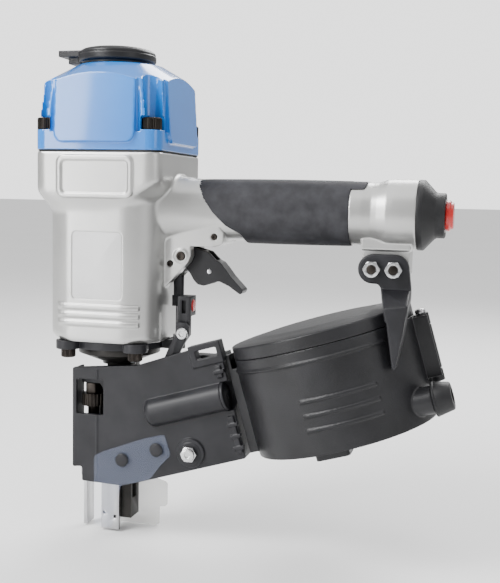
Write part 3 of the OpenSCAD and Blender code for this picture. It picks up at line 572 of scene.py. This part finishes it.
def cylinder_cap():
    """Square cap with a raised panel on each side and a slot for each corner bolt."""
    skirt = 16
    rings = [head_ring(CAP_Z), head_ring(CAP_Z + skirt)]
    top = rounded(2 * HEAD_HALF - 8, 2 * HEAD_HALF - 8, HEAD_CORNER)
    rings.append([(x, y, CAP_TOP) for x, y in top])
    piece = loft("cap", rings)
    for sx, sy in CORNERS:
        for x, y in ((29.5, 45.2), (45.2, 29.5)):
            cut(piece, rod("z", (sx * x, sy * y, CAP_Z + 12), 2.6, 60, 40))
    lean = math.radians(3.8)
    for quarter in range(4):
        outline = rounded(57, 52, 6, (0, 5))
        panel = loft("panel", [[(x, -y, z) for x, z in outline] for y in (-2, 1.2)])
        panel.data.transform(Matrix.Translation((0, -HEAD_HALF, 288)) @ Matrix.Rotation(-lean, 4, "X"))
        panel.data.transform(Matrix.Rotation(math.pi / 2 * quarter, 4, "Z"))
        join(piece, panel)
    common(piece, turned("z", (0, 0, 0), [(CAP_Z, 70), (298, 70), (CAP_TOP, 29.5)], 128))
    hollow = [
        rod("z", (0, 0, CAP_Z - 1), 34.06, 16),
        rod("z", (0, 0, CAP_Z + 12), 24, 22),
        rod("z", (DEFLECTOR_X, 0, CAP_TOP - 14), 3, 20),
    ]
    seat = CAP_Z + 13.2
    for sx, sy in CORNERS:
        hollow.append(rod("z", (sx * CAP_BOLT, sy * CAP_BOLT, CAP_Z - 1), 4.3, 40))
        hollow.append(rod("z", (sx * CAP_BOLT, sy * CAP_BOLT, seat), 6.8, 60))
        cx, cy = sx * 39.5, sy * 39.5
        hollow.append(block(cx - 7.5, cx + 7.5, cy - 7.5, cy + 7.5, seat, seat + 9))
    cut(piece, *hollow)
    soften(piece, 0.5, 3)
    return place(piece, "cylinder_cap")


def exhaust_deflector():
    """Round cover with a finger tab and its vents on one side."""
    base = CAP_TOP + 0.3
    profile = [(0, 24), (2.2, 24.2), (2.6, 26.4), (3.6, 27), (6.8, 27), (7.3, 26.4), (7.8, 26.4), (8.3, 26.7),
               (9.6, 26), (11, 23.6), (11.8, 20), (12, 15)]
    x = DEFLECTOR_X
    piece = turned("z", (x, 0, base), profile, 128)
    tab = block(x - 40, x - 18, -11, 11, base + 6, base + 10.4)
    join(piece, tab, block(x - 34, x - 18, -7, 7, base + 1.5, base + 7))
    for k in range(7):
        join(piece, block(x - 34.4, x - 20, -6.6 + 2.1 * k, -5.6 + 2.1 * k, base + 1.5, base + 6.5))
    cut(piece, rod("z", (x, 0, base - 1), 21, 9), block(x - 31, x - 11, -5, 5, base + 2.8, base + 6.8))
    join(piece, rod("z", (x, 0, base), 6, 9))
    cut(piece, rod("z", (x, 0, base - 1), 3.06, 20), rod("z", (x, 0, base + 9.5), 5.6, 6))
    soften(piece, 0.4, 2)
    return place(piece, "exhaust_deflector")


# ---------- handle ----------


def rubber_grip():
    """Sleeve round the handle, cut to the curved outline at both ends."""
    outline = filleted(
        [(60.5, 250), (62, 241), (67, 231), (74, 221.5), (83, 213), (93, 207.5), (98, 195),
         (165.6, 195), (167.2, 222), (169, 232), (176.4, 241), (177, 250)], 4)
    rings = []
    for k in range(25):
        x = 60 + 120 * k / 24
        swell = 0.5 * math.sin(math.pi * k / 24)
        section = rounded(2 * 18.5 + 2 * swell, 2 * 21.3 + 2 * swell, 16.5, (0, HANDLE_Z), arc=16)
        rings.append([(x, y, z) for y, z in section])
    piece = loft("grip", rings)
    common(piece, plate_xz(outline, -30, 30))
    section = rounded(34, 40, 15, (0, HANDLE_Z), arc=16)
    core = loft("core", [[(x, y, z) for y, z in section] for x in (50, 172)])
    cut(piece, core, handle_root(), rod("x", (TAIL_X, 0, HANDLE_Z), 21.25, 20))
    soften(piece, 0.5, 4)
    return place(piece, "rubber_grip")


def end_cap():
    """Cone-shaped rear cap with its collar round the air inlet."""
    x = HANDLE_END
    profile = [(-8, 17), (-0.1, 17), (0, 22.6), (0.6, 23), (3.6, 23), (4.2, 22.7), (11, 15.4), (12, 14.9),
               (12.4, 14.7), (17, 14.7), (17.5, 14.2)]
    piece = turned("x", (x, 0, HANDLE_Z), profile, 128)
    cut(piece, rod("x", (x - 9, 0, HANDLE_Z), 11, 30))
    bevelled(piece, 0.35)
    return place(piece, "end_cap")


def dust_plug():
    """Hollow plug pushed into the air inlet, with a grip rim."""
    x = HANDLE_END + 17.8
    profile = [(-6, 8.12), (0, 8.12), (0.02, 9.6), (0.4, 10), (2.4, 10), (3, 9.4), (3.2, 8.8),
               (4.5, 8.6), (4.8, 8.2)]
    piece = turned("x", (x, 0, HANDLE_Z), profile)
    cut(piece, rod("x", (x - 7, 0, HANDLE_Z), 5.8, 10))
    bevelled(piece, 0.25)
    return place(piece, "dust_plug")


# ---------- nose, trigger and contact arm ----------


def lower_plate():
    """Plate under the body with four bolt ears and an arm for the guide rod."""
    z0, z1 = BODY_BASE - 6, BODY_BASE
    piece = rod("z", (0, 0, z0), 36, 6)
    extras = [block(-30, 30, -28, 28, z0, z1), rod("z", (45.5, -3.2, z0), 5, 6)]
    extras.append(block(28, 45.5, -8.2, 1.8, z0, z1))
    holes = [rod("z", (0, 0, z0 - 1), 12, 8), rod("z", (45.5, -3.2, z0 - 1), 2, 8)]
    for sx, sy in CORNERS:
        x, y = sx * PLATE_BOLT_X, sy * PLATE_BOLT_Y
        extras.append(rod("z", (x, y, z0), 8.4, 6))
        holes.append(rod("z", (x, y, z0 - 1), 3.2, 8))
    join(piece, *extras)
    cut(piece, *holes)
    soften(piece, 0.45, 2)
    return place(piece, "lower_plate")


def trigger():
    """Curved trigger, slotted for its lever."""
    outline = filleted(
        [(47.6, 187.5), (48.6, 197), (56, 197.5), (67.5, 194.5), (70.5, 191.5), (73.5, 188.8), (76.5, 187.4),
         (80, 183.4), (84.5, 177.6), (93, 169), (91.2, 165.6), (82.6, 171.4), (76, 174.3), (72.5, 173.9),
         (69, 172.2), (64.5, 170.9), (60, 171.8), (57, 175), (54.5, 179.4)], 2.2)
    piece = plate_xz(outline, -6.4, 6.4)
    join(piece, rod("y", (PIN_X, -6.4, PIN_Z), 6.2, 12.8))
    slot = plate_xz([(40, 165), (73, 165), (73.4, 186.5), (71, 202), (40, 202)], -3.8, 3.8)
    cut(piece, slot, rod("y", (PIN_X, -10, PIN_Z), 3.05, 20), rod("y", (68.4, -10, 180.9), 1.62, 20))
    soften(piece, 0.32, 3)
    return place(piece, "trigger")


def feeder_lugs():
    """Feed cylinder bulge, door lugs and clips, drawn square and tilted with the magazine."""
    dome = [(0, 4), (0.6, 6.4), (1.6, 8.2), (3.2, 9.4), (5, 9.8), (58, 9.8)]
    lugs = [
        turned("x", (52, FEED_Y, FEED_H), dome),
        block(100.5, 112, -20, 11.5, 27, 31.5),
        block(100.5, 112, -20, 11.5, 91, 97),
        block(94, 117, -25, -16, 93, 108),
        block(109.5, 113.5, -25.6, -23, 30, 56),
        block(109.5, 113.5, -25.6, -23, 83, 91),
    ]
    lugs += [block(107.5, 115.5, -26.2, -23, z, z + 2.2) for z in (33, 41, 49, 86)]
    return tilted(lugs)


def feeder_holes():
    """Feed cylinder with its slot, door pin, window, stud holes and guide rod."""
    holes = tilted([
        rod("x", (56, FEED_Y, FEED_H), 7.5, 60),
        rod("x", (110, FEED_Y, FEED_H), 10.1, 10),
        block(56.5, 88.5, FEED_Y, 8, FEED_H - 3.6, FEED_H + 3.6),
        rod("z", (106, 7, 10), 2.02, 100),
        block(98.5, 113.5, -26, -15, 98, 104),
    ])
    holes.append(plate_xz(rounded(20.5, 25, 1.5, (-12.4, 90.7)), -30, -19))
    holes.append(rod("y", (63, -30, 57.5), 3.02, 30))
    holes += [rod("y", (x, -26, z), 2.02, 10) for x, z in STUDS]
    holes.append(rod("z", (18, -17, 103), 3.2, 30))
    return holes


def feeder_housing():
    """Outer wall with its front flange, nail guide block and bolt boss."""
    wall = filleted(
        [(-25.6, 111), (-25.6, 39.5), (-18.4, 40.5), (-18.4, 30), (12.7, 29), (102.1, 57.1), (83.5, 127.4),
         (61.3, 128.6), (23, 115.4)], 1.5)
    piece = plate_xz(wall, -24, -20)
    guide = plate_xz([(12.4, 30.5), (69.7, 48.4), (101.5, 57.1), (84, 124), (62, 124), (56, 108), (45, 94),
                      (12.4, 92)], -20.5, -4.2)
    join(piece, block(-25.6, -23.7, -23, -8, 41.5, 110.5), guide, *feeder_lugs())
    join(piece, rod("y", (63, -26, 57.5), 10, 3), rod("y", (63, -26.6, 57.5), 7.4, 3))
    join(piece, plate_xz([(-7.6, 110), (-6.4, 110), (-6.2, 32), (-7.4, 32)], -24.45, -23))
    cut(piece, *feeder_holes())
    soften(piece, 0.42, 3)
    return place(piece, "feeder_housing")


def chamfered_nut(axis, at, flats, height, hole):
    """Hexagon nut with turned corners, lying between at and at + height."""
    ring = [on_axis(axis, at, 0, u, v) for u, v in hexagon(flats)]
    top = [on_axis(axis, at, height, u, v) for u, v in hexagon(flats)]
    nut = loft("nut", [ring, top])
    across = flats / 2 / math.cos(math.radians(30))
    blank = [(0, across - 0.7), (0.9, across + 0.5), (height - 0.9, across + 0.5), (height, across - 0.9)]
    common(nut, turned(axis, at, blank))
    cut(nut, rod(axis, on_axis(axis, at, -1, 0, 0), hole, height + 2))
    return bevelled(nut, 0.15)


def socket_bolt(head_r, head_h, shank_r, shank_len, socket, knurl=0.0):
    """Socket bolt along Z with its head on z = 0, knurled round the edge if knurl is over 0."""
    rings = []
    for z, grow in ((0, -0.3), (0.4, 0), (head_h - 0.7, 0), (head_h, -0.7)):
        ring = []
        for i in range(120):
            radius = head_r + grow - (knurl if i % 4 > 1 else 0)
            turn = 2 * math.pi * i / 120
            ring.append((radius * math.cos(turn), radius * math.sin(turn), z))
        rings.append(ring)
    bolt = loft("bolt", rings)
    join(bolt, rod("z", (0, 0, -shank_len), shank_r, shank_len + 0.5, 48))
    cut(bolt, plate_xy(hexagon(socket), head_h * 0.45, head_h + 1))
    shade(bolt.data, 30)
    return bolt


def socket_bolts():
    """Cap bolts, plate bolts and the contact arm's bolt."""
    for count, (sx, sy) in enumerate(CORNERS):
        bolt = socket_bolt(6.5, 8, 3.95, 33.5, 6, knurl=0.28)
        bolt.data.transform(Matrix.Translation((sx * CAP_BOLT, sy * CAP_BOLT, JOINT_Z + 14)))
        place(bolt, "cap_bolts", "black_oxide", name=f"cap_bolt_{count}")
        bolt = socket_bolt(5, 6, 2.95, 17.5, 5, knurl=0.22)
        bolt.data.transform(Matrix.Rotation(math.pi, 4, "X"))
        under = (sx * PLATE_BOLT_X, sy * PLATE_BOLT_Y, BODY_BASE - 6)
        bolt.data.transform(Matrix.Translation(under))
        place(bolt, "plate_bolts", "black_oxide", name=f"plate_bolt_{count}")
    bolt = socket_bolt(4.2, 2.2, 2.45, 6.5, 4)
    bolt.data.transform(Matrix.Rotation(math.pi / 2, 4, "X"))
    bolt.data.transform(Matrix.Translation((53.4, -17.5, 138.4)))
    place(bolt, "link_bolt")


def hinge_pin():
    """Cover's hinge pin, with a knob on top."""
    profile = [(0, 1.5), (0.5, 1.98), (47, 1.98), (47.01, 3.4), (48.4, 3.6), (49.4, 3), (49.9, 1.8)]
    pin = turned("z", (HINGE_X, 0, 45), profile, 48)
    shade(pin.data, 40)
    return place(pin, "hinge_pin", slope=True)


def shields():
    """Clear near shield with its tongue down the foot, milky far shield, and their studs."""
    near = filleted([(-8, -1), (6, -1), (7.5, 18), (12.4, 30), (33.3, 36), (40.6, 46), (48.6, 54.6),
                     (44, 68.9), (27.1, 64), (-1.3, 52.9), (-8, 49.3)], 3)
    sheet = plate_xz(near, -26.2, -24.6)
    cut(sheet, *[rod("y", (x, -28, z), 2.1, 6) for x, z in STUDS])
    fold = plate_xz([(28.4, 36), (29.2, 36), (28.4, 62), (27.6, 62)], -26.2, -25.8)
    cut(sheet, fold)
    place(bevelled(sheet, 0.45), "shield_near")
    for k, (x, z) in enumerate(STUDS):
        profile = [(0, 2.6), (0.15, 3.7), (0.5, 4.5), (0.9, 4.8), (1.4, 4.8), (1.41, 2), (9.4, 2)]
        stud = turned("y", (x, -27.6, z), profile)
        place(bevelled(stud, 0.1), "shield_near", "black_metal", name=f"near_stud_{k}")
    far = filleted([(-9, -9), (28, -9), (28, 6), (34, 6), (34, 24), (12, 30), (-9, 30)], 3)
    sheet = plate_xz(far, 9.1, 10.6)
    far_studs = (-4.5, 6.5)
    cut(sheet, *[rod("y", (x, 8, 22), 1.6, 4) for x in far_studs])
    place(bevelled(sheet, 0.4), "shield_far", "milky_plastic")
    for k, x in enumerate(far_studs):
        profile = [(0, 1.5), (5.1, 1.5), (5.11, 3), (5.8, 3), (6.1, 2.6), (6.3, 1.8)]
        stud = turned("y", (x, 5.5, 22), profile)
        place(bevelled(stud, 0.1), "shield_far", "black_oxide", name=f"far_stud_{k}")


def red_button():
    """Round button with a short stem."""
    at = (53, -6.4, 157)
    profile = [(0, 1.9), (2.6, 1.9), (2.61, 4.0), (2.8, 4.3), (4.3, 4.3), (4.7, 4.2), (5.1, 3.7), (5.2, 3.2)]
    piece = bevelled(turned("x", at, profile, 64), 0.12)
    return place(piece, "red_button")


# ---------- magazine ----------


def drum_side(side, z0, z1, radius):
    """Half of a disc on one side of the magazine's middle plane."""
    disc = rod("z", (DRUM_X, 0, z0), radius, z1 - z0, 192)
    y0, y1 = (0.4, 100) if side > 0 else (-100, -0.4)
    return common(disc, block(100, 270, y0, y1, z0 - 1, z1 + 1))


def magazine_body():
    """Near half of the drum with its floor, throat, hinge arms and bumper peg."""
    piece = drum_side(-1, DRUM_BASE, DRUM_SPLIT, DRUM_R)
    extras = [rod("z", (DRUM_X, 0, DRUM_BASE), DRUM_R, DRUM_FLOOR - DRUM_BASE, 192)]
    for z in MARKS:
        line = drum_side(-1, z, z + MARK_H, DRUM_R + 0.9)
        extras.append(common(line, block(DRUM_X - 12, DRUM_X + 36, -80, -20, z, z + MARK_H)))
    extras += [
        block(116.8, 131.8, -20, -4.5, 28, 86),
        block(116.8, 119.6, -20, -8, 84, 96),
        block(DRUM_X + 20, DRUM_X + 64, -6, -0.6, 46, 91.7),
        block(DRUM_X + 47, HINGE_X + 4.5, -7.6, -5.1, 50, 90.5),
        turned("x", (DRUM_X + 40, PEG_Y, PEG_Z), [(0, 9), (24, 9), (24.5, 8.6)]),
        plate_xy(rounded(22, 16, 2, (DRUM_X - 2, -46)), 20.5, 26.5),
    ]
    for z in (46, 84):
        extras.append(block(DRUM_X + 50, HINGE_X, -5, -0.6, z, z + 7.7))
        extras.append(rod("z", (HINGE_X, 0, z), 5, 7.7, 48))
    join(piece, *extras)
    rim = drum_side(-1, 83.5, 84.9, DRUM_R + 1)
    join(piece, common(rim, block(110, DRUM_X + 46, -100, -1, 80, 88)))
    cut(
        piece,
        rod("z", (DRUM_X, 0, DRUM_FLOOR), DRUM_R - DRUM_WALL, 90, 192),
        rod("z", (DRUM_X, 0, DRUM_BASE + 1), 7.02, 20),
        block(100, 130, -4.4, 0.6, DRUM_FLOOR + 2, 120),
        rod("z", (HINGE_X, 0, 54), 5.3, 30),
        rod("z", (HINGE_X, 0, 20), 2.02, 90),
        rod("x", (DRUM_X + 56.5, PEG_Y, PEG_Z), 2.02, 12),
    )
    soften(piece, 0.5, 2)
    return place(piece, "magazine_body", slope=True)


def magazine_cover():
    """Far half of the drum with the domed lid and the hinge's middle knuckle."""
    piece = drum_side(1, DRUM_FLOOR + 0.3, DRUM_LID, DRUM_R)
    dome = [(0, 62), (0.7, 61.4), (1.5, 56), (2.2, 47), (3.1, 40), (3.4, 20)]
    join(
        piece,
        rod("z", (DRUM_X, 0, DRUM_SPLIT + 0.3), DRUM_R, DRUM_LID - DRUM_SPLIT - 0.3, 192),
        turned("z", (DRUM_X, 0, DRUM_LID - 0.01), dome, 192),
        rod("z", (HINGE_X, 0, 54.1), 5, 29.6, 48),
        block(DRUM_X + 50, DRUM_X + 68.5, 0.6, 5, 54.1, 83.7),
    )
    grooves = []
    for z in MARKS:
        band = drum_side(1, z, z + MARK_H, DRUM_R + 3)
        cut(band, rod("z", (DRUM_X, 0, z - 1), DRUM_R - 0.7, 4, 192))
        grooves.append(common(band, block(DRUM_X - 30, DRUM_X + 30, 20, 80, z - 1, z + 3)))
    cut(
        piece,
        *grooves,
        rod("z", (DRUM_X, 0, 0), DRUM_R - DRUM_WALL, DRUM_LID - 2.6, 192),
        rod("z", (HINGE_X, 0, 20), 2.05, 90),
        block(100, 130, -1, 4.5, 20, DRUM_SPLIT),
    )
    soften(piece, 0.5, 2)
    return place(piece, "magazine_cover", slope=True)


def bumper_cap():
    """Rubber bumper with its peg and a recessed end."""
    x = DRUM_X + 64.5
    profile = [(0, 10.9), (0.5, 11.4), (1.6, 11.3), (2, 10.9), (2.4, 11), (11, 9.1), (11.8, 8.6), (12, 7.8)]
    piece = turned("x", (x, PEG_Y, PEG_Z), profile)
    cut(piece, rod("x", (x + 7, PEG_Y, PEG_Z), 5.5, 8), rod("x", (x - 1, PEG_Y, PEG_Z), 2, 10))
    join(piece, rod("x", (x - 7, PEG_Y, PEG_Z), 2, 14), rod("x", (x + 7, PEG_Y, PEG_Z), 3.6, 1.6))
    bevelled(piece, 0.3)
    return place(piece, "bumper_cap", slope=True)


def nuts():
    """Lock nuts on the hanger bolts."""
    for k, x in enumerate(HANGER_X):
        nut = chamfered_nut("y", (x, -23.6, HANGER_Z), 10, 5.6, 3.02)
        place(nut, "hanger_nuts", "zinc", name=f"hanger_nut_{k}")


def hanger_arm():
    """Arm bolted under the handle's end, with a tapered fin down the magazine's side."""
    eyes = []
    for x, begin in zip(HANGER_X, (90, -90)):
        for k in range(13):
            turn = math.radians(begin + 180 * k / 12)
            eyes.append((x + 9.6 * math.cos(turn), HANGER_Z + 9.6 * math.sin(turn)))
    piece = plate_xz(eyes, -18, -11.3)
    neck = [(184, 184), (206, 188), (207.5, 176), (207.5, 168), (189, 168), (188, 176), (184.5, 180)]
    join(piece, plate_xz(filleted(neck, 2), -18, -11.3))
    upper = [(189, 168), (207.5, 168), (207.5, 175), (188.4, 175)]
    lower = [(195, 158), (208.5, 162), (209, 168), (194, 166)]
    points = [(x, y, z) for y in (-18, -11.3) for x, z in upper]
    points += [(x, y, z) for y in (-49, -46) for x, z in lower]
    fin = filleted([(195, 163), (208.5, 166), (206.5, 150), (202.5, 128), (200.5, 128)], 1)
    join(piece, hull("shelf", points), plate_xz(fin, -49, -30))
    soften(piece, 0.6, 8)
    clear = tilted([rod("z", (DRUM_X, 0, 20), DRUM_R + 0.4, 81, 192)])
    clear += [rod("y", (x, -30, HANGER_Z), 3.02, 30) for x in HANGER_X]
    cut(piece, *clear)
    soften(piece, 0.4, 3)
    return place(piece, "hanger_arm")


# ---------- the whole tool ----------

BUILT = [socket_bolts, hinge_pin, shields, nuts, red_button, housing, cylinder_cap, exhaust_deflector,
         rubber_grip, end_cap, dust_plug, lower_plate, trigger, feeder_housing, magazine_body,
         magazine_cover, bumper_cap, hanger_arm]
# Machined nodes: bevel width in millimetres
BEVELLED = {
    "deflector_bolt": 0.3, "inlet_fitting": 0.3, "driver_guide": 0.4,
    "guide_rod": 0.3, "trigger_pin": 0.3, "trigger_lever": 0.3, "lever_pin": 0.2, "valve_body": 0.3,
    "valve_stem": 0.3, "web_screws": 0.2, "contact_bracket": 0.5, "contact_link": 0.5,
    "dial_wheel": 0.15, "dial_nut": 0.4, "contact_foot": 0.35, "feed_cap": 0.3,
    "feed_pawl": 0.2, "nose_door": 0.5, "door_pin": 0.3, "door_latch": 0.3, "latch_pin": 0.3,
    "feeder_nut": 0.4, "nail_tray": 0.3, "tray_post": 0.4, "hanger_bolts": 0.4,
    "rating_label": 0.1,
}

for build in BUILT:
    build()
for part, width in BEVELLED.items():
    dress(part, width)
for part, node in NODES.items():
    if not node.hide_render:
        keep(part)


# ---------- studio ----------


def floor():
    """Pale floor that runs far out behind the tool."""
    level = CAD_BOX[0].z - 0.0005
    mesh = bpy.data.meshes.new("floor")
    reach = 30.0
    corners = [(-reach, -reach, level), (reach, -reach, level), (reach, reach, level), (-reach, reach, level)]
    mesh.from_pydata(corners, [], [(0, 1, 2, 3)])
    piece = bpy.data.objects.new("floor", mesh)
    bpy.context.scene.collection.objects.link(piece)
    mesh.materials.append(
        finish("floor", (0.86, 0.86, 0.86), (0.88, 0.88, 0.88), 0.6, patch=2, grain=60, bump=0.02, deep=0.2)
    )


def softbox(name, at, aim, width, height, power):
    """Rectangular light at a spot, turned to its aim."""
    light = bpy.data.lights.new(name, "AREA")
    light.shape = "RECTANGLE"
    light.size = width
    light.size_y = height
    light.energy = power
    lamp = bpy.data.objects.new(name, light)
    bpy.context.scene.collection.objects.link(lamp)
    lamp.location = at
    lamp.rotation_euler = (Vector(aim) - Vector(at)).to_track_quat("-Z", "Y").to_euler()


def camera():
    """Camera in front of the tool, a little to the right and above, looking left and down."""
    forward = Vector((-0.25919, 0.96073, -0.09904)).normalized()
    right = forward.cross(Vector((0, 0, 1))).normalized()
    above = right.cross(forward)
    roll = 0.0201
    level, steep = right, above
    right = level * math.cos(roll) + steep * math.sin(roll)
    above = steep * math.cos(roll) - level * math.sin(roll)
    view = bpy.data.cameras.new("camera")
    view.sensor_fit = "VERTICAL"
    view.sensor_height = 36.0
    view.lens = 58.695
    piece = bpy.data.objects.new("camera", view)
    bpy.context.scene.collection.objects.link(piece)
    turn = Matrix((right, above, -forward)).transposed().to_4x4()
    piece.matrix_world = Matrix.Translation((0.265894, -0.629112, 0.232702)) @ turn
    bpy.context.scene.camera = piece


def white_room():
    """White surroundings, which the camera sees brighter than they light the tool."""
    world = bpy.data.worlds.new("studio")
    world.use_nodes = True
    nodes, links = world.node_tree.nodes, world.node_tree.links
    lit = nodes["Background"]
    lit.inputs["Color"].default_value = (1, 1, 1, 1)
    lit.inputs["Strength"].default_value = 0.6
    seen = nodes.new("ShaderNodeBackground")
    seen.inputs["Color"].default_value = (1, 1, 1, 1)
    seen.inputs["Strength"].default_value = 2.2
    ray = nodes.new("ShaderNodeLightPath")
    mix = nodes.new("ShaderNodeMixShader")
    links.new(ray.outputs["Is Camera Ray"], mix.inputs["Fac"])
    links.new(lit.outputs["Background"], mix.inputs[1])
    links.new(seen.outputs["Background"], mix.inputs[2])
    links.new(mix.outputs["Shader"], nodes["World Output"].inputs["Surface"])
    bpy.context.scene.world = world


def studio():
    """Four softboxes and a wide, soft overhead light in a white room."""
    white_room()
    centre = (0.09, 0, 0.16)
    softbox("key", (-0.75, -0.75, 1.15), centre, 0.6, 0.6, 26)
    softbox("strip", (-0.50, -0.90, 0.40), centre, 0.16, 0.9, 6)
    softbox("fill", (1.1, -0.55, 0.65), centre, 0.5, 0.7, 2.5)
    softbox("back", (0.3, 0.9, 1.0), centre, 0.9, 0.5, 16)
    sky = bpy.data.lights.new("sky", "SUN")
    sky.energy = 1.6
    sky.angle = math.radians(70)
    bpy.context.scene.collection.objects.link(bpy.data.objects.new("sky", sky))


floor()
camera()
studio()
